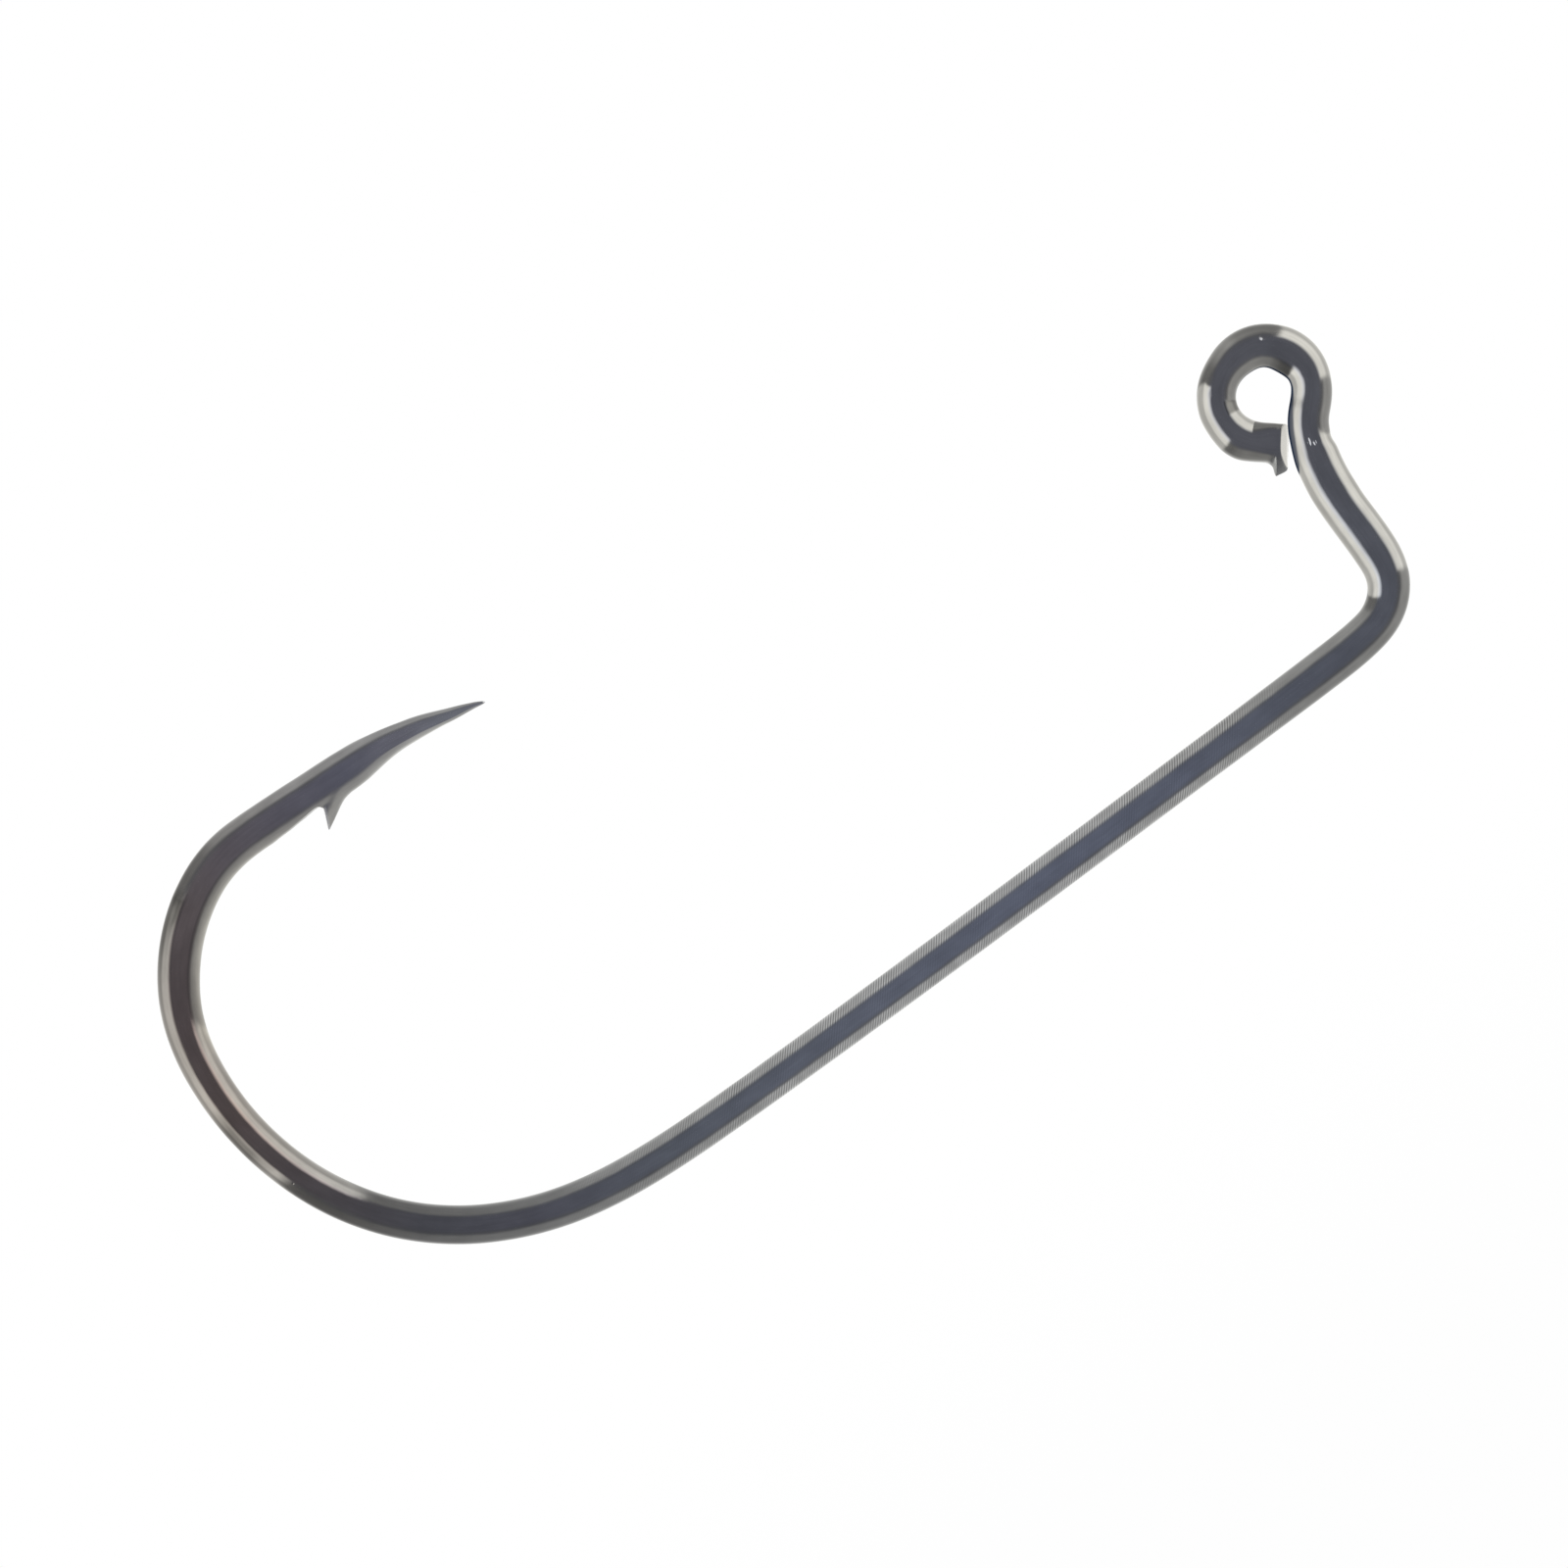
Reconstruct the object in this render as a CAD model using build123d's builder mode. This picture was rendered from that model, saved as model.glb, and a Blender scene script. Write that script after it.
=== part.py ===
from build123d import *
from math import cos, sin, radians, degrees
import os

# Bare 90 degree jig hook: one wire, bent in one plane.
# Frame: the hook lies in the XZ plane. The origin is the centre of the line eye, +X runs along the
# shank towards the eye, +Z is up towards the eye and the point, +Y runs across the hook.
# All lengths are in millimetres. Width is the wire's size in the hook's plane, across is its size
# along Y.

# ---- eye ----
eye_bore_dia = 1.50        # line hole through the ring
eye_ring_radius = 1.295    # centre of the eye to the centreline of the ring
eye_wire_width = 1.13
eye_wire_across = 1.10
eye_cut_reach = 1.2        # half length of the tool that cuts the line hole
neck_start_deg = -49.0     # where the ring turns out into the neck, measured from +X
ring_end_deg = 231.0       # where the closing end of the ring leaves the circle
ring_steps = 26            # stations round the circle
ring_end_narrowing = 0.04  # width lost where the circle meets the closing end
end_straight = 0.62        # straight closing end, from the circle to the cut face
end_turn_deg = 4.4         # how far the closing end turns back in from the circle's tangent
end_cut_deg = -37.8        # heading of the normal of the cut face

# ---- wire ----
wire_end = 58.78           # length of wire from the start of the neck to the needle point
point_tip_dia = 0.045      # blunt of the needle point
shank_start_x = -3.2       # where the jig bend hands over to the shank
bend_start_x = -22.5       # where the shank hands over to the round bend
point_start_x = -29.4      # where the round bend hands over to the point leg, above z = 0

# ---- barb and notch ----
leg_inner_z = 6.165        # inner side of the point leg, facing the shank, at the barb
barb_rise = 0.52           # barb tip below the inner side of the point leg
barb_across = 0.70         # width of the barb at its root, across the hook
notch_depth = 0.14         # depth of the chisel cut at the barb's root
notch_length = 1.35        # length of the chisel cut along the point leg
notch_end_x = -26.90       # deepest point of the chisel cut
notch_cut_reach = 1.0      # half length of the tool that makes the chisel cut

# The three tables below are measured along the wire from the start of the neck, with straight
# lines between their rows.
# Bend: (length, curvature in 1/mm). Positive turns the wire anticlockwise when seen along +Y with
# +X to the right.
bend_table = [
    # neck, straight riser
    (0.00, -1 / eye_ring_radius), (0.25, 0.6610), (0.55, 1.1509), (0.85, 0.3169), (1.20, 0.2655),
    (1.70, 0.0301), (2.30, 0.2163), (3.00, 0.0903), (3.70, -0.0547),
    # 90 degree jig bend
    (4.30, -0.1452), (4.70, -0.4196), (5.10, -0.7192), (5.60, -0.6710), (6.10, -0.6102),
    # shank
    (6.50, -0.5296), (6.90, -0.1334), (7.40, -0.1358), (8.30, -0.0005), (17.00, -0.0004),
    (26.00, -0.0028),
    # round bend
    (28.00, -0.0078), (30.00, -0.0348), (32.00, -0.0819), (34.00, -0.1138), (36.00, -0.1303),
    (38.00, -0.1376), (40.00, -0.1294), (42.00, -0.1148), (44.00, -0.1394), (46.00, -0.1880),
    (48.00, -0.2126), (49.50, -0.2271), (51.00, -0.1998), (52.00, -0.0935), (53.00, 0.0059),
    # point leg, curved-in point
    (54.00, 0.0383), (55.00, -0.0223), (56.00, -0.1016), (57.00, -0.1045), (58.00, -0.0567),
    (58.80, -0.0112),
]
# Width: (length, width). Wider where the riser and the point leg are pressed, narrowing to the
# needle point.
width_table = [
    (0.00, 1.130), (0.60, 1.100), (1.00, 1.130), (1.50, 1.220), (2.00, 1.245), (4.30, 1.246),
    (4.80, 1.210), (5.30, 1.160), (6.20, 1.115), (7.20, 1.140), (8.10, 1.148), (9.50, 1.140),
    (12.40, 1.122), (17.10, 1.110), (20.90, 1.090), (24.70, 1.070), (27.40, 1.056), (31.30, 1.066),
    (36.00, 1.054), (39.50, 1.066), (42.70, 1.050), (44.60, 1.078), (45.60, 1.092), (46.50, 1.130),
    (47.50, 1.160), (49.30, 1.175), (50.50, 1.170), (51.70, 1.142), (53.00, 1.110), (54.20, 1.125),
    (54.60, 1.105), (55.00, 1.050), (55.40, 0.965), (55.80, 0.880), (56.18, 0.790), (56.55, 0.705),
    (56.90, 0.620), (57.25, 0.530), (57.80, 0.390), (58.30, 0.215), (wire_end, point_tip_dia),
]
# Across: (length, size across the hook).
across_table = [
    (0.00, 1.100), (1.00, 1.095), (4.60, 1.095), (5.60, 1.075), (8.00, 1.060), (12.00, 1.070),
    (20.00, 1.080), (30.00, 1.090), (40.00, 1.090), (44.60, 1.080), (46.00, 1.050), (47.50, 1.030),
    (50.00, 1.020), (52.00, 1.020), (53.50, 1.040), (54.60, 1.020), (55.40, 0.930), (56.18, 0.765),
    (56.90, 0.605), (57.25, 0.520), (57.80, 0.380), (58.30, 0.212), (wire_end, point_tip_dia),
]
# Station spacing: (up to this length, gap to the next station).
gap_table = [(8.5, 0.25), (27, 1.45), (44, 0.8), (54, 0.55), (wire_end, 0.33)]
shortest_gap = 0.12        # a last gap no longer than this is merged into the one before
bend_step = 0.01           # step for adding up the curvature
smooth_until = 58.5        # beyond this the sizes are read straight, to keep the tip sharp
section_points = 12        # points round each wire section


def value_at(rows, along):
    """Value of a table at a length, on straight lines between its rows."""
    if along <= rows[0][0]:
        return rows[0][1]
    for (start, first), (end, last) in zip(rows, rows[1:]):
        if along <= end:
            return first + (last - first) * (along - start) / (end - start)
    return rows[-1][1]


def size_at(rows, along, reach=0.25):
    """Wire size at a length, averaged over a short reach so that it changes without corners."""
    if along >= smooth_until:
        return value_at(rows, along)
    return sum(value_at(rows, along + reach * k / 4) for k in range(-4, 5)) / 9


# A station is (x, z, heading in degrees, width, across). The stations run from the cut face of
# the eye, round the ring and along the wire to the needle point.

def eye_stations():
    """Closing end of the ring, then the circle up to the neck."""
    rows = []
    leave = radians(ring_end_deg)
    end_deg = ring_end_deg + 90 - 360 + end_turn_deg
    end_x, end_z = cos(radians(end_deg)), sin(radians(end_deg))
    # distance back from the cut face, heading, width, across
    for back, deg, width, across in [(0, end_cut_deg + 180, 1.05, 1.07),
                                     (0.25, end_deg + 180, 1.07, 1.08)]:
        x = eye_ring_radius * cos(leave) + (end_straight - back) * end_x
        z = eye_ring_radius * sin(leave) + (end_straight - back) * end_z
        rows.append((x, z, deg, width, across))
    for k in range(ring_steps):
        deg = ring_end_deg + (neck_start_deg - ring_end_deg) * k / ring_steps
        near_end = max(0.0, 1 - k / 2)  # blends the first two stations into the closing end
        rows.append((eye_ring_radius * cos(radians(deg)), eye_ring_radius * sin(radians(deg)),
                     deg - 90 + near_end * end_turn_deg / 2,
                     eye_wire_width - ring_end_narrowing * near_end, eye_wire_across))
    return rows


def wire_stations():
    """Neck to needle point: the bend table added up in short steps."""
    rows = []
    x = eye_ring_radius * cos(radians(neck_start_deg))
    z = eye_ring_radius * sin(radians(neck_start_deg))
    heading = radians(neck_start_deg - 90)
    along = 0.0
    while True:
        rows.append((x, z, degrees(heading), size_at(width_table, along),
                     size_at(across_table, along)))
        if along >= wire_end:
            return rows
        following = along + next(gap for limit, gap in gap_table if along < limit)
        if wire_end - following <= shortest_gap:
            following = wire_end
        for k in range(round((following - along) / bend_step)):
            turn = value_at(bend_table, along + (k + 0.5) * bend_step) * bend_step
            x += bend_step * cos(heading + turn / 2)
            z += bend_step * sin(heading + turn / 2)
            heading += turn
        along = following


def loft_wire(rows):
    """Length of wire lofted through oval sections at the stations."""
    angles = [radians(360 * k / section_points) for k in range(section_points)]
    with BuildPart() as wire:
        for x, z, deg, width, across in rows:
            direction = (cos(radians(deg)), 0, sin(radians(deg)))
            with BuildSketch(Plane(origin=(x, 0, z), x_dir=(0, 1, 0), z_dir=direction)):
                with BuildLine():
                    Spline(*[(across / 2 * cos(a), width / 2 * sin(a)) for a in angles],
                           periodic=True)
                make_face()
        loft()
    return wire.part


def two_way_block(side_outline, half_across, end_outline, start_x, length):
    """Block with an (x, z) outline seen along Y, trimmed to a (y, z) outline seen along X."""
    with BuildPart() as block:
        with BuildSketch(Plane.XZ):
            with BuildLine():
                Polyline(*side_outline, close=True)
            make_face()
        extrude(amount=half_across, both=True)
        with BuildSketch(Plane.YZ.offset(start_x)):
            with BuildLine():
                Polyline(*end_outline, close=True)
            make_face()
        extrude(amount=length, mode=Mode.INTERSECT)
    return block.part


# ---- wire in five lengths, each ending on the section where the next one starts ----
stations = eye_stations()
neck_at = len(stations)
stations += wire_stations()
shank_at = next(k for k, (x, *_) in enumerate(stations) if k > neck_at and x < shank_start_x)
bend_at = next(k for k, (x, *_) in enumerate(stations) if x < bend_start_x)
point_at = next(k for k, (x, z, *_) in enumerate(stations)
                if k > bend_at and z > 0 and x > point_start_x)

ring_wire = loft_wire(stations[:neck_at + 1])
neck = loft_wire(stations[neck_at:shank_at + 1])    # with the riser and the jig bend
shank = loft_wire(stations[shank_at:bend_at + 1])
bend = loft_wire(stations[bend_at:point_at + 1])
point_wire = loft_wire(stations[point_at:])

# ---- eye: the ring with a straight round land around its inside ----
with BuildPart() as eye:
    add(ring_wire)
    with BuildSketch(Plane.XZ):
        Circle(eye_bore_dia / 2)
    extrude(amount=eye_cut_reach, both=True, mode=Mode.SUBTRACT)

# ---- point leg: a shallow ramp is cut into its inner side, on the bend side of the barb ----
barb_back = [(-26.765, 6.235), (-26.755, 6.15), (-26.905, 5.88)]  # (x, z), shared with the barb
notch_start_x = notch_end_x - notch_length
notch_outline = [
    (notch_start_x, 6.215), (notch_end_x, leg_inner_z + notch_depth), (-26.81, 6.285), *barb_back,
    (-26.985, 5.60), (-27.20, 5.40), (notch_start_x, 5.40),
]
with BuildPart() as point:
    add(point_wire)
    with BuildSketch(Plane.XZ):
        with BuildLine():
            Polyline(*notch_outline, close=True)
        make_face()
    extrude(amount=notch_cut_reach, both=True, mode=Mode.SUBTRACT)

# ---- barb: a wedge leaning back towards the bend, narrower at its edge than at its root ----
barb_tip_z = leg_inner_z - barb_rise
barb_side = [
    (-26.765, 6.60), *barb_back, (-26.985, barb_tip_z), (-26.93, barb_tip_z - 0.005),
    (-26.69, 5.765), (-26.46, 5.905), (-26.25, 6.015), (-26.05, 6.085), (-25.70, 6.60),
]
# (y, z) of the +Y half, from the edge up to the root
barb_half = [
    (0.10, barb_tip_z - 0.035), (0.20, 5.80), (0.29, 6.00), (barb_across / 2, 6.30),
    (barb_across / 2, 6.62),
]
barb_end = barb_half + [(-y, z) for y, z in reversed(barb_half)]
barb = two_way_block(barb_side, barb_across / 2, barb_end, start_x=-28, length=4)

# ---- burr: the lip the cutter leaves on the outer corner of the cut face ----
burr_side = [
    (-0.91, -1.40), (-0.95, -1.58), (-0.935, -1.72), (-0.99, -1.85), (-0.99, -1.925),
    (-0.88, -1.95), (-0.765, -1.945), (-0.655, -1.90), (-0.595, -1.80), (-0.58, -1.70),
    (-0.60, -1.45),
]
burr_end = [
    (-0.16, -1.96), (0.19, -1.96), (0.30, -1.80), (0.35, -1.30), (-0.35, -1.30), (-0.27, -1.78),
]
burr = two_way_block(burr_side, 0.40, burr_end, start_x=-2, length=3)

# ---- jig_hook: the one wire, whole ----
with BuildPart() as jig_hook:
    for piece in (eye.part, burr, neck, shank, bend, point.part, barb):
        add(piece)

jig_hook.part.label = "jig_hook"

os.makedirs("parts", exist_ok=True)
export_step(jig_hook.part, "parts/jig_hook.step")
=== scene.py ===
"""A jig hook bent from one length of round wire and plated in black nickel.

The hook lies in the XZ plane and is seen from -Y. The eye's ring is near the origin and the neck
runs down from it. The shank runs towards -X, and the round bend brings the point leg back towards
+X, above the shank.
"""

import math

import bpy
import numpy as np
from mathutils import Matrix, Vector


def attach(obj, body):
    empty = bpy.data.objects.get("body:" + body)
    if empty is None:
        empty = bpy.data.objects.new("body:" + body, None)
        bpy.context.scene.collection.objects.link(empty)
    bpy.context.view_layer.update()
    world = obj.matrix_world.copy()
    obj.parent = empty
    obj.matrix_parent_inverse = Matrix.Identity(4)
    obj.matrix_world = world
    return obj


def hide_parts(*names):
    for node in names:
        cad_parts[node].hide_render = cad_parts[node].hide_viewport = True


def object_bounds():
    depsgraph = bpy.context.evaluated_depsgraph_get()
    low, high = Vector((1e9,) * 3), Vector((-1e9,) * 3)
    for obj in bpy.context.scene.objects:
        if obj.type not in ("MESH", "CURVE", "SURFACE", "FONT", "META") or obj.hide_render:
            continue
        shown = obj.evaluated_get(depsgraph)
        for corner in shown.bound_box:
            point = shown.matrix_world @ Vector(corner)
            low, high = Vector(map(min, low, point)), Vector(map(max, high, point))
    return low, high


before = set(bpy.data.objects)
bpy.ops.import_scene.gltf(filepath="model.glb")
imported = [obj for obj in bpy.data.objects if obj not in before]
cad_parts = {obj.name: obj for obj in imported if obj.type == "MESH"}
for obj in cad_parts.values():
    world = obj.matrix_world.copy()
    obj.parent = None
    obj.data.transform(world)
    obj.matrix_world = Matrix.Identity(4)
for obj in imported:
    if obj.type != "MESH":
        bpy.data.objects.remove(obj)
cad_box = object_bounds()

MILLIMETRE = 0.001
VIEW_ROLL = 36.713         # degrees the camera is rolled about its line of sight


def profile(at, pairs):
    """Value at each place in `at`, straight-line between (place, value) pairs."""
    return np.interp(at, *zip(*pairs))


def unit(values):
    return np.clip(values, 0, 1)


def smoothstep(values):
    return values * values * (3 - 2 * values)


def add_object(name, data):
    thing = bpy.data.objects.new(name, data)
    bpy.context.scene.collection.objects.link(thing)
    return thing


# ==============================================================================================
# 1. The wire form, in millimetres
# ==============================================================================================
# One length runs through the whole wire: the cut end of the eye is at -7.00, the eye's ring from
# there to about 0, the riser at 2 to 4, the jig bend at 5, the shank to 28, the round bend to 52,
# the barb at 53.6, the needle point at 58.78. The two bend tables start from a riser point.
RISER_AT = 3.40
RISER_X, RISER_Z, RISER_HEADING = -0.06139, -4.12863, -1.571685
WIRE_END = 58.78
CUT_BACK = 10.400          # wire from the riser point round the eye to the middle of the cut face
CUT_AT = RISER_AT - CUT_BACK

# (length back from the riser point, curvature per mm) up the neck and round the eye
EYE_BEND = [
    (0.00, -0.0160), (0.50, -0.0969), (1.00, -0.2297), (1.40, -0.1008), (1.80, -0.0530),
    (2.10, -0.2320), (2.35, -0.2830), (2.60, -0.5373), (2.85, -0.7681), (3.10, -0.5552),
    (3.35, 0.0207), (3.60, 0.4239), (3.95, 0.7918), (4.40, 1.0661), (4.85, 0.6575),
    (5.30, 0.7353), (5.75, 0.9168), (6.20, 0.8343), (6.65, 0.6627), (7.10, 0.5804),
    (7.55, 0.8660), (8.00, 0.8235), (8.45, 0.6901), (8.90, 0.8412), (9.20, 1.1057),
    (9.45, 0.7956), (9.75, 0.1992), (10.25, -0.1121), (10.60, -0.1121)]
# (length, curvature per mm) from the riser point to the needle point
MAIN_BEND = [
    (3.00, 0.0903), (3.70, -0.0547), (4.30, -0.1452), (4.70, -0.4196), (5.10, -0.7192),
    (5.60, -0.6710), (6.10, -0.6102), (6.50, -0.5296), (6.90, -0.1334), (7.40, -0.1358),
    (8.30, -0.0005), (17.00, -0.0004), (26.00, -0.0028), (28.00, -0.0078), (30.00, -0.0348),
    (32.00, -0.0819), (34.00, -0.1138), (36.00, -0.1303), (38.00, -0.1376), (40.00, -0.1294),
    (42.00, -0.1148), (44.00, -0.1394), (46.00, -0.1880), (48.00, -0.2126), (49.50, -0.2271),
    (51.00, -0.1998), (52.00, -0.0935), (53.00, 0.0059), (54.00, 0.0383), (55.00, -0.0223),
    (56.00, -0.1016), (57.00, -0.1045), (58.00, -0.0567), (58.80, -0.0112)]
# (length, reach to the outside of the bends, reach to the inside), from the centreline
REACH = np.array([
    (-7.05, 0.540, 0.500), (-6.85, 0.545, 0.510), (-6.60, 0.535, 0.527), (-6.35, 0.523, 0.539),
    (-6.10, 0.529, 0.566), (-5.85, 0.570, 0.577), (-5.60, 0.563, 0.572), (-5.35, 0.535, 0.551),
    (-5.10, 0.527, 0.535), (-4.85, 0.538, 0.524), (-4.60, 0.532, 0.528), (-4.35, 0.523, 0.525),
    (-4.10, 0.525, 0.527), (-3.85, 0.524, 0.528), (-3.60, 0.532, 0.537), (-3.35, 0.558, 0.557),
    (-3.10, 0.572, 0.577), (-2.85, 0.579, 0.581), (-2.60, 0.581, 0.579), (-2.35, 0.580, 0.584),
    (-2.10, 0.592, 0.597), (-1.85, 0.609, 0.614), (-1.60, 0.611, 0.616), (-1.35, 0.598, 0.600),
    (-1.10, 0.572, 0.573), (-0.85, 0.551, 0.560), (-0.60, 0.541, 0.550), (-0.35, 0.546, 0.552),
    (-0.10, 0.549, 0.554), (0.15, 0.547, 0.556), (0.40, 0.556, 0.549), (0.60, 0.568, 0.546),
    (0.80, 0.566, 0.549), (0.92, 0.551, 0.556), (1.02, 0.551, 0.568), (1.12, 0.566, 0.580),
    (1.22, 0.590, 0.594), (1.32, 0.606, 0.610), (1.42, 0.609, 0.622), (1.65, 0.602, 0.634),
    (1.90, 0.603, 0.636), (2.15, 0.610, 0.638), (2.40, 0.622, 0.634), (2.65, 0.624, 0.628),
    (2.90, 0.616, 0.625), (3.40, 0.622, 0.624), (3.90, 0.623, 0.622), (4.40, 0.619, 0.614),
    (4.90, 0.604, 0.585), (5.40, 0.580, 0.559), (5.90, 0.567, 0.547), (6.40, 0.559, 0.540),
    (6.90, 0.563, 0.555), (7.40, 0.563, 0.568), (7.90, 0.565, 0.570), (8.40, 0.567, 0.566),
    (8.90, 0.569, 0.562), (11.00, 0.560, 0.556), (13.00, 0.552, 0.554), (15.00, 0.550, 0.551),
    (17.00, 0.549, 0.548), (19.00, 0.546, 0.544), (21.00, 0.540, 0.540), (23.00, 0.536, 0.535),
    (25.00, 0.529, 0.528), (27.00, 0.525, 0.522), (29.00, 0.523, 0.526), (31.00, 0.526, 0.527),
    (33.00, 0.529, 0.521), (35.00, 0.518, 0.524), (37.00, 0.521, 0.520), (39.00, 0.526, 0.524),
    (41.00, 0.523, 0.517), (42.50, 0.512, 0.524), (44.00, 0.524, 0.531), (44.50, 0.537, 0.527),
    (45.00, 0.551, 0.522), (45.50, 0.563, 0.520), (46.00, 0.571, 0.528), (46.50, 0.572, 0.548),
    (47.00, 0.567, 0.571), (47.50, 0.562, 0.584), (48.00, 0.561, 0.589), (48.50, 0.567, 0.591),
    (49.00, 0.578, 0.586), (49.50, 0.593, 0.569), (50.00, 0.606, 0.552), (50.50, 0.608, 0.549),
    (51.00, 0.590, 0.560), (51.50, 0.556, 0.578), (52.00, 0.541, 0.596), (52.50, 0.543, 0.594),
    (53.00, 0.554, 0.585), (53.50, 0.556, 0.580), (54.00, 0.564, 0.575), (54.50, 0.556, 0.570),
    (54.75, 0.542, 0.560), (55.00, 0.530, 0.540), (55.25, 0.509, 0.498), (55.50, 0.489, 0.452),
    (55.75, 0.465, 0.407), (56.00, 0.434, 0.374), (56.25, 0.395, 0.344), (56.50, 0.356, 0.324),
    (56.75, 0.327, 0.305), (57.00, 0.290, 0.284), (57.25, 0.249, 0.257), (57.50, 0.209, 0.227),
    (57.75, 0.173, 0.203), (58.00, 0.148, 0.168), (58.25, 0.122, 0.119), (58.50, 0.092, 0.072),
    (58.65, 0.062, 0.050), (58.73, 0.040, 0.034), (58.78, 0.014, 0.014)])
# (length, the wire's full size along Y)
WIDTH = np.array([
    (-7.05, 1.080), (-6.00, 1.100), (-0.60, 1.100), (0.60, 1.095), (1.60, 1.095), (4.60, 1.095),
    (5.60, 1.075), (8.00, 1.060), (12.00, 1.070), (20.00, 1.080), (30.00, 1.090), (40.00, 1.090),
    (44.60, 1.080), (46.00, 1.050), (47.50, 1.030), (50.00, 1.020), (52.00, 1.020),
    (53.50, 1.040), (54.60, 1.020), (55.40, 0.930), (56.18, 0.765), (56.90, 0.605),
    (57.25, 0.520), (57.80, 0.380), (58.30, 0.222), (58.65, 0.110), (58.73, 0.072),
    (58.78, 0.026)])
# (length, spacing of the rings there)
RING_SPACING = [
    (CUT_AT, 0.005), (CUT_AT + 0.03, 0.009), (CUT_AT + 0.35, 0.013), (CUT_AT + 0.55, 0.035),
    (-5.5, 0.05), (0.55, 0.05), (0.75, 0.020), (1.10, 0.020), (1.30, 0.045), (4.5, 0.070),
    (7.5, 0.075), (9.0, 0.16), (28.0, 0.17), (30.0, 0.10), (50.0, 0.09), (51.5, 0.055),
    (52.6, 0.040), (53.42, 0.022), (53.55, 0.006), (53.66, 0.006), (53.75, 0.020),
    (54.6, 0.030), (55.5, 0.045), (58.0, 0.035), (58.55, 0.020), (58.70, 0.008),
    (WIRE_END, 0.005)]
SMOOTH_UNTIL = 58.3        # the size tables are smoothed up to here, and exact at the point


def follow_bend(heading, bend, start, stop, step=0.002):
    """Length, x, z and heading along a curve that leaves the riser point."""
    def running_sum(values):
        return np.r_[0, np.cumsum((values[1:] + values[:-1]) / 2 * step)]

    place = np.arange(start, stop + step / 2, step)
    headings = heading + running_sum(profile(place, bend))
    x = RISER_X + running_sum(np.cos(headings))
    z = RISER_Z + running_sum(np.sin(headings))
    return np.array([place, x, z, headings])


def spaced(rows):
    """Lengths along the wire, packed closer where the rows of (length, spacing) ask for it."""
    places = [rows[0][0]]
    while places[-1] < rows[-1][0]:
        places.append(places[-1] + profile(places[-1], rows))
    places[-1] = rows[-1][0]
    return np.array(places)


def wire_size(table, column, blur):
    """A column of a size table at every ring, averaged over `blur` mm to each side."""
    pairs = table[:, (0, column)]
    smooth = np.mean([profile(length + shift, pairs) for shift in np.linspace(-blur, blur, 9)],
                     axis=0)
    return np.where(length < SMOOTH_UNTIL, smooth, profile(length, pairs))


# the whole centreline, from the cut end to the needle point
eye_path = follow_bend(RISER_HEADING + math.pi, EYE_BEND, 0.0, CUT_BACK)
eye_path[0] = RISER_AT - eye_path[0]
eye_path[3] -= math.pi
main_path = follow_bend(RISER_HEADING, MAIN_BEND, RISER_AT, WIRE_END)
path_at, path_x, path_z, path_heading = np.hstack([eye_path[:, ::-1], main_path[:, 1:]])

# values per ring are columns, so that they combine with rows of values per section angle
length = spaced(RING_SPACING)[:, None]
ring_count = len(length)
middle_x = np.interp(length, path_at, path_x)
middle_z = np.interp(length, path_at, path_z)
heading = np.interp(length, path_at, path_heading)
heading_x, heading_z = np.cos(heading), np.sin(heading)
reach_out = wire_size(REACH, 1, blur=0.10)
reach_in = wire_size(REACH, 2, blur=0.10)
width = wire_size(WIDTH, 1, blur=0.20)
back = length - CUT_AT     # distance from the cut end

# ==============================================================================================
# 2. The swept surface: sections across the wire, with the marks the tools left
# ==============================================================================================
# Section coordinates: `side` is along Y, `out` is in the hook's plane, positive to the outside of
# the bends. Section angles run from the far side (+Y) through the outer side.
SIDES = 88
OUTER, FRONT = math.radians(90), math.radians(180)       # FRONT faces the viewer, at -Y
even_turn = np.linspace(0, 2 * math.pi, SIDES, endpoint=False)
angle = even_turn - 0.35 * np.cos(even_turn)    # closer on the inner side, where the barb stands


def angle_from(centre):
    return (angle - centre + math.pi) % (2 * math.pi) - math.pi


# Small dents: (length, degrees round from FRONT, radius along the wire, radius in degrees, depth)
NICKS = [
    (0.95, 6.5, 0.11, 8.0, 0.006), (0.99, -8.8, 0.11, 8.0, 0.006),
    (1.10, -1.0, 0.10, 8.0, 0.004), (-2.42, -21.0, 0.080, 8.0, 0.006),
    (-2.62, 6.0, 0.09, 8.0, 0.004), (-0.92, 14.0, 0.10, 8.0, 0.004),
    (-4.05, -30.0, 0.12, 7.0, 0.007), (-4.40, -24.0, 0.07, 7.0, 0.006),
    (-6.15, 12.0, 0.07, 6.0, 0.005), (5.65, -40.0, 0.10, 8.0, 0.006),
    (14.20, 150.0, 0.09, 6.0, 0.008), (19.60, -62.0, 0.10, 6.0, 0.007),
    (23.10, 205.0, 0.12, 7.0, 0.008), (31.40, 120.0, 0.10, 7.0, 0.008),
    (36.80, -20.0, 0.09, 6.0, 0.004), (41.60, 175.0, 0.11, 8.0, 0.008),
    (47.30, 64.0, 0.12, 7.0, 0.006), (50.20, 160.0, 0.10, 7.0, 0.008)]
# Chisel cut: (length, distance of its flat floor from the centreline)
CHISEL_FLOOR = [
    (51.95, 0.640), (52.10, 0.598), (52.25, 0.580), (52.50, 0.556), (52.75, 0.516),
    (53.00, 0.482), (53.20, 0.446), (53.32, 0.426), (53.40, 0.421), (53.46, 0.427),
    (53.505, 0.444), (53.54, 0.478), (53.562, 0.520), (53.578, 0.575)]
BARB_AT = 53.580
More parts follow.
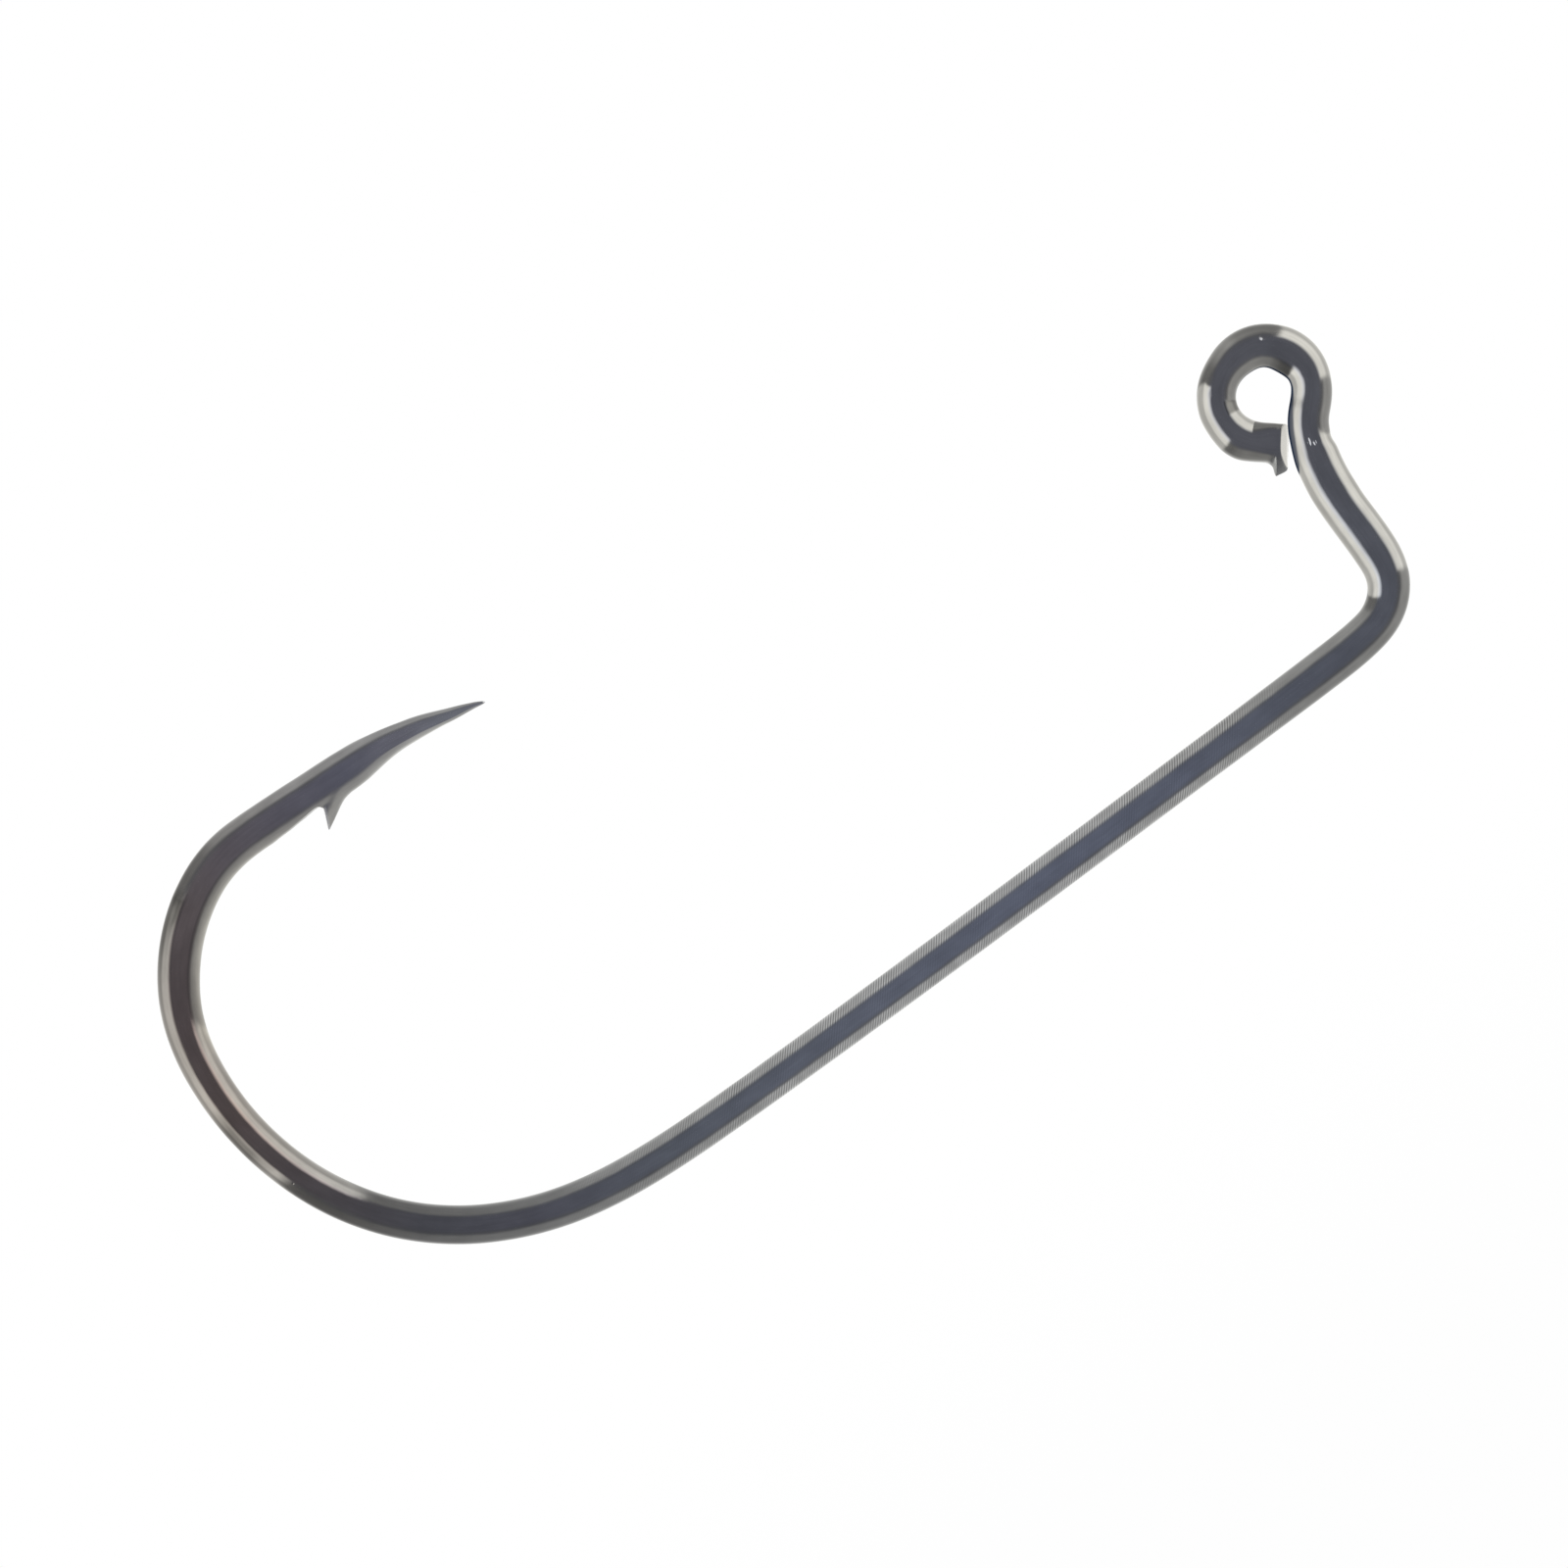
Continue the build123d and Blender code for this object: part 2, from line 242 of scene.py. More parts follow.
# Barb: (length, distance of its crest from the centreline)
BARB_CREST = [
    (53.575, 0.560), (53.584, 0.620), (53.590, 0.700), (53.596, 0.830), (53.602, 0.970),
    (53.612, 1.050), (53.626, 1.088), (53.646, 1.098), (53.668, 1.088), (53.705, 1.054),
    (53.765, 1.000), (53.830, 0.945), (53.910, 0.868), (53.994, 0.790), (54.070, 0.722),
    (54.150, 0.664), (54.230, 0.620), (54.320, 0.592), (54.420, 0.574)]
BARB_HALF_WIDTH = [(53.5, 0.40), (53.62, 0.42), (53.9, 0.46), (54.4, 0.52)]
# Honed flats near the point: (section angle, share of the wire's radius taken off)
HONED_FLATS = [(FRONT + math.radians(16), 0.050), (math.radians(-16), 0.050), (OUTER, 0.018)]
# Shear's lip: (distance from the cut end, height)
LIP = [
    (0.000, 0.160), (0.020, 0.202), (0.060, 0.235), (0.100, 0.262), (0.150, 0.292),
    (0.200, 0.322), (0.245, 0.350), (0.268, 0.354), (0.288, 0.330), (0.306, 0.270),
    (0.322, 0.195), (0.340, 0.132), (0.370, 0.084), (0.415, 0.042), (0.470, 0.014),
    (0.530, 0.000)]
# Rounded corner of the cut face: (distance from the cut end, scale of the section)
CUT_CORNER = [(0, 0.965), (0.004, 0.983), (0.010, 0.992), (0.018, 0.998), (0.028, 1.0)]


def plain_section():
    """Oval sections, squeezed towards a square by the shear, more so on the inner side."""
    squeeze = smoothstep(unit((1.05 - back) / 0.75))
    on_outside = np.sin(angle) > 0
    power = 2 / (2 + squeeze * np.where(on_outside, 0.9, 1.8))
    side = np.sign(np.cos(angle)) * np.abs(np.cos(angle)) ** power * (width / 2)
    out = (np.sign(np.sin(angle)) * np.abs(np.sin(angle)) ** power
           * np.where(on_outside, reach_out, reach_in))
    return side, out


def nicked(side, out):
    """Dents from the tools, and very slight waviness from the wire straightener."""
    dent = np.zeros_like(side)
    for place, degrees, radius, spread, depth in NICKS:
        round_wire = angle_from(FRONT + math.radians(degrees)) / math.radians(spread)
        dent += depth * np.exp(-((length - place) / radius) ** 2 - round_wire ** 2)
    dent += 0.0012 * np.sin(length * 2.1 + 2 * angle) * np.sin(length * 0.73 + angle + 1.0)
    dent *= unit((58.0 - length) / 2.0) * unit(back / 0.3)      # none at either end
    scale = 1 - dent / (np.hypot(side, out) + 1e-9)
    return side * scale, out * scale


def honed(side, out, hone):
    """Soft flats on the point: one on each face, tipped to the inside, and one outside."""
    size = (reach_out + reach_in) / 2
    for facing, taken in HONED_FLATS:
        toward_side, toward_out = math.cos(facing), math.sin(facing)
        distance = side * toward_side + out * toward_out
        over = np.clip(distance - size * (1 - taken), 0, None) * hone
        soft_over = over * over / (over + 0.25 * taken * size + 1e-9)
        side = side - soft_over * toward_side
        out = out - soft_over * toward_out
    return side, out


side, out = nicked(*plain_section())

# chisel cut behind the barb: the inner side is shaved to a flat floor up to the barb's root
shaved = (out < 0) & (length > CHISEL_FLOOR[0][0]) & (length <= BARB_AT)
chisel_floor = profile(length, CHISEL_FLOOR)
unshaved = np.maximum(-out, 1e-6)
soft_lower = (unshaved ** -22.0 + chisel_floor ** -22.0) ** (-1 / 22.0)
out = np.where(shaved, -soft_lower, out)

# the barb: the sliver the chisel raised, a wedge that falls away evenly on both sides of its
# crest, leaning back over the cut
barb_rise = np.where((length > BARB_AT) & (length < BARB_CREST[-1][0]),
                     np.maximum(profile(length, BARB_CREST) - reach_in, 0), 0)
crest_side = 0.10 * unit((54.4 - length) / 0.6)           # the crest stands off to the far side
from_crest = np.sqrt((side - crest_side) ** 2 + 0.022 ** 2) - 0.022
wedge = np.where(out < 0, unit(1 - from_crest / profile(length, BARB_HALF_WIDTH)), 0)
wedge = np.where(wedge < 0.16, wedge * wedge / 0.32, wedge - 0.08) / 0.92
out = out - barb_rise * wedge
lean = (0.46 * np.clip(-out - 0.52, 0, None)
        * ((length > BARB_AT - 0.01) * unit((54.60 - length) / 0.40)))

hone = smoothstep(unit((length - 54.9) / 0.8) * unit((58.6 - length) / 0.5))
side, out = honed(side, out, hone)

# the shear's lip on the outer corner of the cut end, and the corner rounding
lip = profile(back, LIP)
lip_round = np.exp(-(np.abs(angle_from(OUTER + 0.10)) / math.radians(33)) ** 2.2)
out = out + lip * lip_round
corner = profile(back, CUT_CORNER)
side = side * corner
out = out * corner
# shift towards the needle point: the cut face recedes on the viewer's side, and the lip rolls
# over its end
slide = unit(1 - back / 0.40) ** 1.5 * (-0.222 * side + 0.34 * np.where(side < 0, side * side, 0))
slide = slide - 0.055 * lip_round * (unit(1 - back / 0.22) * unit(lip / 0.15))

# ---- the mesh ----
LAID_RADIUS = 0.55         # radius of the wire when it is laid out straight for the textures
CAP_RINGS = (0.93, 0.82, 0.68, 0.50, 0.30, 0.12)          # shares of the cut end's size
CROWN = 0.006              # how far the cut face and the needle point stand out in the middle


def hook_points(ring, side, out, ahead):
    """Section coordinates at a ring, or at all of them, as points in metres."""
    x = middle_x[ring] - heading_z[ring] * out + heading_x[ring] * ahead
    z = middle_z[ring] + heading_x[ring] * out + heading_z[ring] * ahead
    return np.stack(np.broadcast_arrays(x, side, z), axis=-1).reshape(-1, 3) * MILLIMETRE


def laid_points(place, scale=1.0):
    """The same points with the wire laid out straight along Z, in millimetres."""
    radius = LAID_RADIUS * scale
    points = np.broadcast_arrays(np.cos(angle) * radius, np.sin(angle) * radius, place)
    return np.stack(points, axis=-1).reshape(-1, 3)


neighbours = [(k, (k + 1) % SIDES) for k in range(SIDES)]
last_ring = (ring_count - 1) * SIDES
tip = ring_count * SIDES
points = [hook_points(slice(None), side, out, slide - lean), hook_points(-1, 0, 0, CROWN)]
laid = [laid_points(length), [(0, 0, length[-1, 0])]]
faces = [(ring + k, ring + n, ring + SIDES + n, ring + SIDES + k)
         for ring in range(0, last_ring, SIDES) for k, n in neighbours]
faces += [(last_ring + k, last_ring + n, tip) for k, n in neighbours]
# cut face: rings closing to the middle, very slightly crowned by the shear
outer_ring, inner_ring = 0, tip + 1
for share in CAP_RINGS:
    ahead = slide[0] * share - CROWN * (1 - share * share)
    points.append(hook_points(0, side[0] * share, out[0] * share, ahead))
    laid.append(laid_points(length[0] - LAID_RADIUS * (1 - share), share))
    faces += [(outer_ring + n, outer_ring + k, inner_ring + k, inner_ring + n)
              for k, n in neighbours]
    outer_ring, inner_ring = inner_ring, inner_ring + SIDES
points.append(hook_points(0, 0, 0, -CROWN))
laid.append([(0, 0, length[0, 0] - LAID_RADIUS)])
faces += [(outer_ring + n, outer_ring + k, inner_ring) for k, n in neighbours]
points, laid = np.concatenate(points), np.concatenate(laid)

wire_mesh = bpy.data.meshes.new("jig_hook_wire")
wire_mesh.from_pydata(points.tolist(), [], faces)
wire_mesh.update()
hook = add_object("jig_hook_wire", wire_mesh)
for polygon in wire_mesh.polygons:
    polygon.use_smooth = True
hook.visible_glossy = False      # a wire this fine would mirror itself as hard black hairlines

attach(hook, "root")
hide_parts("jig_hook")

# ==============================================================================================
# 3. Painted layers on the wire: the plate's tint, with painted shade and painted light
# ==============================================================================================
# (length, reflectance in red, green, blue) looking straight onto the wire: neutral at the eye,
# blue on the shank, brown in the bend, a paler violet-blue at the point
PLATE_TINT = np.array([
    (-7.5, 0.250, 0.253, 0.275), (0.5, 0.255, 0.260, 0.285), (5.0, 0.250, 0.262, 0.295),
    (9.0, 0.262, 0.282, 0.335), (13.0, 0.285, 0.312, 0.390), (18.0, 0.305, 0.335, 0.425),
    (25.0, 0.305, 0.332, 0.400), (30.0, 0.262, 0.285, 0.330), (34.0, 0.225, 0.228, 0.265),
    (37.0, 0.195, 0.195, 0.215), (40.0, 0.205, 0.182, 0.185), (43.0, 0.232, 0.185, 0.170),
    (46.0, 0.228, 0.185, 0.178), (49.0, 0.290, 0.245, 0.240), (51.0, 0.285, 0.255, 0.275),
    (52.5, 0.285, 0.270, 0.310), (54.6, 0.270, 0.272, 0.330), (55.5, 0.330, 0.330, 0.385),
    (56.5, 0.380, 0.378, 0.430), (57.5, 0.420, 0.432, 0.475), (58.8, 0.440, 0.452, 0.490)])
# the same towards the wire's edges, where the plate turns almost neutral
PLATE_EDGE = np.array([
    (-7.5, 0.262, 0.258, 0.247), (0.5, 0.262, 0.258, 0.247), (5.0, 0.255, 0.252, 0.243),
    (9.0, 0.262, 0.262, 0.258), (18.0, 0.285, 0.287, 0.290), (25.0, 0.288, 0.290, 0.291),
    (30.0, 0.260, 0.262, 0.262), (34.0, 0.232, 0.233, 0.233), (37.0, 0.205, 0.205, 0.205),
    (40.0, 0.195, 0.188, 0.181), (43.0, 0.195, 0.181, 0.168), (46.0, 0.200, 0.188, 0.178),
    (49.0, 0.265, 0.256, 0.246), (51.0, 0.270, 0.262, 0.256), (52.5, 0.270, 0.264, 0.262),
    (54.6, 0.265, 0.262, 0.262), (56.5, 0.360, 0.358, 0.360), (58.8, 0.420, 0.420, 0.420)])
# (length, strength) of the painted highlight that brightens the inner rim of the round bend and
# the point leg
RIM_LIGHT = [(44.6, 0), (45.4, 1), (50.0, 1), (51.5, 0.70), (53.2, 0.70), (53.8, 0.50),
             (57.4, 0.70), (58.4, 0)]
RIM_LIGHT_TINT = (1.0, 1.0, 0.86)
# (length, share of the inner reach where the painted dark shade inside the eye starts)
HOLE_RIM = [(-7.1, 1.03), (-5.9, 1.00), (-5.2, 0.985), (-3.2, 0.975), (-1.4, 0.95),
            (-0.7, 0.96), (-0.35, 0.93), (0.15, 0.85), (0.45, 0.79), (0.80, 0.80),
            (1.10, 0.84), (1.40, 0.885), (1.70, 1.03)]
# (length, depth of painted shade) on two stretches of the ring's inner side
RING_SHADE_NEAR_CUT = [(-5.08, 0), (-5.00, 0.66), (-4.64, 0.66), (-4.57, 0)]
RING_SHADE_NEAR_NECK = [(-2.20, 0), (-1.75, 0.34), (-1.30, 0.52), (-1.20, 0)]
# (length, painted shade on the outer side of the round bend, painted shade at its outermost rim)
BEND_SHADE = np.array([
    (43.2, 0.00, 0.00), (44.7, 0.20, 0.10), (46.3, 0.25, 0.25), (46.86, 0.31, 0.38),
    (47.5, 0.43, 0.60), (47.96, 0.58, 0.74), (48.45, 0.80, 0.77)])
BEND_SHADE_PATCH = [(48.40, 0), (48.55, 1), (48.95, 1), (49.15, 0)]
BEND_INNER_SHADE = [(44.6, 0), (45.4, 1), (50.0, 1), (51.5, 0.45), (53.0, 0.30), (54.5, 0)]

# how far out to each side a point lies, as a share of the wire's reach
inward = np.clip(-out / reach_in, 0, None)
outward = np.clip(out / reach_out, 0, None)


def colour_layer(name, table, lift=None):
    colours = np.ones((len(points), 4))
    for c in range(3):
        colours[:, c] = profile(laid[:, 2], table[:, (0, c + 1)])
        if lift is not None:
            colours[:tip, c] *= 1 + lift.reshape(-1) * RIM_LIGHT_TINT[c]
    layer = wire_mesh.color_attributes.new(name, "FLOAT_COLOR", "POINT")
    layer.data.foreach_set("color", colours.reshape(-1))


def value_layer(name, on_rings, on_tip=0.0, on_cap=0.0):
    values = np.full(len(points), on_cap)
    values[:tip] = on_rings.reshape(-1)
    values[tip] = on_tip
    layer = wire_mesh.attributes.new(name, "FLOAT", "POINT")
    layer.data.foreach_set("value", values)


def shade_mask():
    """Painted shade that dims the wire's reflections: on the eye's inner side, on both sides of
    the round bend, and on the shear's lip.
    """
    shade = (profile(length, RING_SHADE_NEAR_CUT)
             * unit((inward - 0.20) / 0.05) * unit((0.985 - inward) / 0.05))
    shade = np.maximum(shade, profile(length, RING_SHADE_NEAR_NECK)
                       * unit((inward - 0.50) / 0.10))
    # painted shade on the outer side of the round bend: first where it faces down and to the left
    # in the view
    on_outside = unit(outward / 0.3 - 0.6)
    facing = np.degrees(heading) + 90.0 + VIEW_ROLL
    facing = (facing + 180.0) % 360.0 - 180.0
    turned_away = unit(1.5 - np.abs(facing + 136.0) / 5.5) * (length > 35) * (length < 52)
    shade = np.maximum(shade, 0.62 * turned_away * on_outside)
    outer = profile(length, BEND_SHADE[:, :2])
    outermost = profile(length, BEND_SHADE[:, ::2])
    outer = outer + (outermost - outer) * unit((outward - 0.64) / 0.12)
    outer = outer + 0.18 * profile(length, BEND_SHADE_PATCH) * unit((0.54 - outward) / 0.06)
    shade = np.maximum(shade, outer * unit((49.38 - length) / 0.30) * on_outside)
    # painted shade on the inner side of the round bend, then on the lip
    shade = np.maximum(shade, 0.45 * profile(length, BEND_INNER_SHADE)
                       * unit((inward - 0.50) / 0.04) * unit((0.92 - inward) / 0.40))
    return np.maximum(shade, 0.50 * unit(lip / 0.035) * unit(lip_round * 5))


def hole_shade_mask():
    """Painted dark shade inside the eye and in the closed gap, standing in for the wire mirroring
    itself there.
    """
    rim = profile(length, HOLE_RIM)
    return smoothstep(unit((inward - rim) / 0.05 + 0.5) * (length < 1.8))


def pale_paint_mask():
    """The barb's back, where the chisel stopped, and the shear's lip: painted a lighter grey that
    stands in for reflected light, and made rougher.
    """
    barb = unit((53.70 - length) / 0.05) * (length > 53.577) * unit((-out - 0.50) / 0.08)
    return np.maximum(barb, unit(lip / 0.06) * unit(lip_round * 4))


def cut_metal_mask():
    """Plate over cut or ground metal: cut end, lip, chisel cut, barb and honed point."""
    return unit(unit(1 - back / 0.05) + unit(lip / 0.25) * lip_round * 0.8
                + np.where(shaved, unit((unshaved - chisel_floor + 0.02) / 0.05), 0)
                + unit(barb_rise / 0.35) * wedge * 0.8 + 0.45 * hone)


# painted highlight: the edge colour is lifted and tinted on the inner rim of the round bend and
# the point leg
rim_light = profile(length, RIM_LIGHT) * unit((inward - 0.62) / 0.33)
colour_layer("plate_tint", PLATE_TINT)
colour_layer("plate_edge", PLATE_EDGE, lift=0.62 * rim_light)
straight_layer = wire_mesh.attributes.new("laid_straight", "FLOAT_VECTOR", "POINT")
straight_layer.data.foreach_set("vector", laid.reshape(-1))
# painted shade that dims the reflections
value_layer("in_shade", shade_mask())
# painted dark shade inside the eye and the gap
value_layer("in_the_hole", hole_shade_mask())
# painted lighter grey on the barb's back and the lip, which are also rougher
value_layer("pale_cut", pale_paint_mask())
first_ring = np.zeros_like(side)
first_ring[0] = 0.6
value_layer("cut_face", first_ring, on_cap=1.0)
value_layer("cut_metal", cut_metal_mask(), on_tip=0.3, on_cap=1.0)


# ==============================================================================================
# 4. Material: bright black nickel over polished wire
# ==============================================================================================
class ShaderTree:
    """An emptied node tree, with short ways to fill it."""

    def __init__(self, owner):
        owner.use_nodes = True
        self.tree = owner.node_tree
        self.tree.nodes.clear()

    def put(self, socket, value):
        if isinstance(value, bpy.types.NodeSocket):
            self.tree.links.new(value, socket)
        elif isinstance(value, tuple) and len(value) != len(socket.default_value):
            socket.default_value = (*value, 1)
        else:
            socket.default_value = value

    def add(self, kind, inputs=None, **settings):
        node = self.tree.nodes.new("ShaderNode" + kind)
        for name, value in settings.items():
            setattr(node, name, value)
        for key, value in (inputs or {}).items():
            self.put(node.inputs[key], value)
        return node

    def math(self, operation, *values):
        return self.add("Math", dict(enumerate(values)), operation=operation).outputs[0]

    def vector_math(self, operation, *values):
        return self.add("VectorMath", dict(enumerate(values)), operation=operation).outputs[0]

    def ramp(self, value, span, to=(0.0, 1.0), kind="SMOOTHSTEP"):
        inputs = {"Value": value, "From Min": span[0], "From Max": span[1],
                  "To Min": to[0], "To Max": to[1]}
        return self.add("MapRange", inputs, interpolation_type=kind).outputs["Result"]

    def mix(self, share, first, second, kind="MIX"):
        return self.add("Mix", {}, data_type="RGBA", blend_type=kind), share, first, second

    def blend(self, share, first, second, kind="MIX"):
        node = self.add("Mix", data_type="RGBA", blend_type=kind)
        for index, value in ((0, share), (6, first), (7, second)):
            self.put(node.inputs[index], value)
        return node.outputs[2]

    def times(self, colour, factor):
        return self.blend(1.0, colour, factor, kind="MULTIPLY")

    def attribute(self, name, output="Fac"):
        return self.add("Attribute", attribute_name=name).outputs[output]

    def noise(self, vector, stretch, detail, rough):
        stretched = self.vector_math("MULTIPLY", vector, stretch)
        return self.add("TexNoise", {"Vector": stretched, "Scale": 1.0, "Detail": detail,
                                     "Roughness": rough}).outputs[0]

    def facing(self):
        return self.add("LayerWeight", {"Blend": 0.5}).outputs["Facing"]

    def split(self, vector):
        return self.add("SeparateXYZ", {0: vector}).outputs


# dents left by the bending die: (length, degrees round from FRONT, radius round the wire,
# radius along it, depth); two side by side on the neck, one on the crown of the eye
DIE_DENTS = [(0.985, 14.5, 0.050, 0.125, 0.027), (1.035, -1.5, 0.048, 0.100, 0.025),
             (-2.42, -16.0, 0.085, 0.100, 0.020)]
LINE_WAVE = 2 * math.pi / 0.064      # polishing lines 0.064 mm apart
LINE_ALONG, LINE_ACROSS = -0.766, 0.643        # direction in which the lines repeat
# heights of the relief, in millimetres
DRAW_LINES, WAVINESS, PIT_DEPTH, GRINDING = 0.00045, 0.0050, 0.0035, 0.0016


def polishing_lines(tree, laid_at, across, along):
    """Fine slanting lines across the straight shank, strongest on its outer and inner flanks."""
    phase = tree.math("ADD", tree.math("MULTIPLY", along, LINE_ALONG * LINE_WAVE),
                      tree.math("MULTIPLY", across, LINE_ACROSS * LINE_WAVE))
    beat = tree.noise(laid_at, stretch=(0.6, 0.6, 3.2), detail=1.0, rough=0.5)
    flank = tree.ramp(tree.math("ABSOLUTE", across), span=(0.23, 0.31), to=(0.08, 0.54))
    on_shank = tree.math("MULTIPLY", tree.ramp(along, span=(9.0, 12.0)),
                         tree.ramp(along, span=(26.0, 34.0), to=(1.0, 0.0)))
    depth = tree.math("MULTIPLY", tree.math("MULTIPLY", flank, on_shank),
                      tree.ramp(beat, span=(0.30, 0.70), to=(0.60, 1.20), kind="LINEAR"))
    lift = tree.ramp(across, span=(-0.05, 0.05), to=(0.36, 0.74))
    wave = tree.math("ADD", tree.math("SINE", phase), lift)
    return tree.math("ADD", 1.0, tree.math("MULTIPLY", wave, depth))


def relief(tree, laid_at, cut_metal):
    """Draw lines, waviness, a few pits, die dents, and grinding lines on the cut metal."""
    fine = tree.noise(laid_at, stretch=(13.0, 13.0, 0.40), detail=3.0, rough=0.55)
    wavy = tree.noise(laid_at, stretch=(2.6, 2.6, 1.3), detail=2.0, rough=0.5)
    ground = tree.noise(laid_at, stretch=(3.0, 3.0, 30.0), detail=3.0, rough=0.6)
    cells = tree.add("TexVoronoi", {"Vector": laid_at, "Scale": 1.9, "Randomness": 1.0})
    pick = tree.add("SeparateColor", {0: cells.outputs["Color"]}).outputs[0]
    pit = tree.math("MULTIPLY",
                    tree.ramp(cells.outputs["Distance"], span=(0.03, 0.11), to=(1.0, 0.0)),
                    tree.ramp(pick, span=(0.66, 0.70)))       # only some cells hold a pit
    height = tree.math("ADD", tree.math("MULTIPLY", fine, DRAW_LINES),
                       tree.math("MULTIPLY", wavy, WAVINESS))
    height = tree.math("SUBTRACT", height, tree.math("MULTIPLY", pit, PIT_DEPTH))
    for place, degrees, radius_round, radius_along, depth in DIE_DENTS:
        turn = FRONT + math.radians(degrees)
        centre = (LAID_RADIUS * math.cos(turn), LAID_RADIUS * math.sin(turn), place)
        offset = tree.vector_math("DIVIDE", tree.vector_math("SUBTRACT", laid_at, centre),
                                  (radius_round, radius_round, radius_along))
        away = tree.add("VectorMath", {0: offset}, operation="LENGTH").outputs["Value"]
        dent = tree.ramp(away, span=(0.15, 1.25), to=(1.0, 0.0))
        height = tree.math("SUBTRACT", height, tree.math("MULTIPLY", dent, depth))
    grinding = tree.math("MULTIPLY", ground, tree.math("MULTIPLY", cut_metal, GRINDING))
    height = tree.math("ADD", height, grinding)
    return tree.add("Bump", {"Strength": 1.0, "Distance": MILLIMETRE, "Height": height})


def black_nickel():
    material = bpy.data.materials.new("black_nickel")
    tree = ShaderTree(material)
    laid_at = tree.attribute("laid_straight", "Vector")
    cut_metal = tree.attribute("cut_metal")
    turned = tree.ramp(tree.facing(), span=(0.04, 0.16))
    # the edge colour also holds the painted highlight on the bend's inner rim
    base = tree.blend(turned, tree.attribute("plate_tint", "Color"),
                      tree.attribute("plate_edge", "Color"))
    # the plate's own unevenness: soft clouds, and faint streaks left by the drawing die
    clouds = tree.noise(laid_at, stretch=(2.4, 2.4, 1.1), detail=3.0, rough=0.55)
    streaks = tree.noise(laid_at, stretch=(15.0, 15.0, 0.55), detail=3.0, rough=0.6)
    for pattern, to in ((clouds, (0.90, 1.10)), (streaks, (0.95, 1.05))):
        base = tree.times(base, tree.ramp(pattern, span=(0.30, 0.70), to=to, kind="LINEAR"))
    _, across, along = tree.split(laid_at)
    base = tree.times(base, polishing_lines(tree, laid_at, across, along))
    # painted lighter grey that stands in for reflected light on the barb's back and the lip,
    # darker at the lip than at the barb
    pale_cut = tree.attribute("pale_cut")
    pale_grey = tree.blend(tree.ramp(along, span=(50.0, 51.0)), (0.40, 0.405, 0.41),
                      (0.58, 0.58, 0.59))
    base = tree.blend(pale_cut, base, pale_grey)
    base = tree.blend(tree.attribute("cut_face"), base, (0.60, 0.585, 0.545))
    # painted shade: the colour drops to an eighth where the mask is full
    in_shade = tree.attribute("in_shade")
    base = tree.blend(in_shade, base, tree.times(base, (0.12, 0.12, 0.12)))
    # painted dark shade inside the eye and the gap
    hole_shade = tree.attribute("in_the_hole")
    base = tree.blend(hole_shade, base, (0.085, 0.090, 0.105))
    # the painted shade and the painted dark inside the eye also dim the shine at the edges
    edge_shine = tree.blend(in_shade, (1.0, 1.0, 1.0), (0.72, 0.72, 0.72))
    edge_shine = tree.blend(hole_shade, edge_shine, (0.25, 0.27, 0.31))
    # finish: bright over the drawn wire, duller over cut, ground or torn metal
    smudge = tree.noise(laid_at, stretch=(1.7, 1.7, 0.8), detail=4.0, rough=0.6)
    rough = tree.ramp(smudge, span=(0.35, 0.70), to=(0.085, 0.125))
    for mask, added in ((cut_metal, 0.15), (pale_cut, 0.30)):
        rough = tree.math("ADD", rough, tree.math("MULTIPLY", mask, added))
    plate = tree.add("BsdfPrincipled", {
        "Base Color": base, "Specular Tint": edge_shine, "Metallic": 1.0, "Roughness": rough,
        "Normal": relief(tree, laid_at, cut_metal).outputs["Normal"]})
    tree.add("OutputMaterial", {"Surface": plate.outputs["BSDF"]})
    return material


wire_mesh.materials.append(black_nickel())

# ==============================================================================================
# 5. Stage: camera, pale floor, soft studio light
# ==============================================================================================
scene = bpy.context.scene
scene.view_settings.view_transform = "Standard"
scene.view_settings.look = "None"
scene.view_settings.exposure = 0
scene.view_settings.gamma = 1


def add_camera():
    view_width = 41.92 * MILLIMETRE      # width seen at the hook
    aim = Vector((-16.50, 0, -0.648)) * MILLIMETRE
    lens = bpy.data.cameras.new("camera")
    lens.lens = 100
    lens.sensor_width = 36
    lens.clip_start = 0.001
    lens.clip_end = 50
    camera = add_object("camera", lens)
    scene.camera = camera
    roll = math.radians(VIEW_ROLL)
    right = Vector((math.cos(roll), 0, -math.sin(roll)))
    up = Vector((math.sin(roll), 0, math.cos(roll)))
    backward = Vector((0, -1, 0))
    pose = Matrix((right, up, backward)).transposed().to_4x4()
    pose.translation = aim + backward * (view_width * lens.lens / lens.sensor_width)
    camera.matrix_world = pose


def floor_paper():
    """Pale paper that goes to the backdrop's white where it is seen edge-on."""
    material = bpy.data.materials.new("floor_paper")
    tree = ShaderTree(material)
    paper = tree.add("BsdfDiffuse", {"Color": (0.80, 0.80, 0.80)}).outputs[0]
    white = tree.add("Emission", {"Color": (1, 1, 1)}).outputs[0]
    edge_on = tree.ramp(tree.facing(), span=(0.80, 0.91))
    mixed = tree.add("MixShader", {0: edge_on, 1: paper, 2: white}).outputs[0]
    tree.add("OutputMaterial", {"Surface": mixed})
    return material


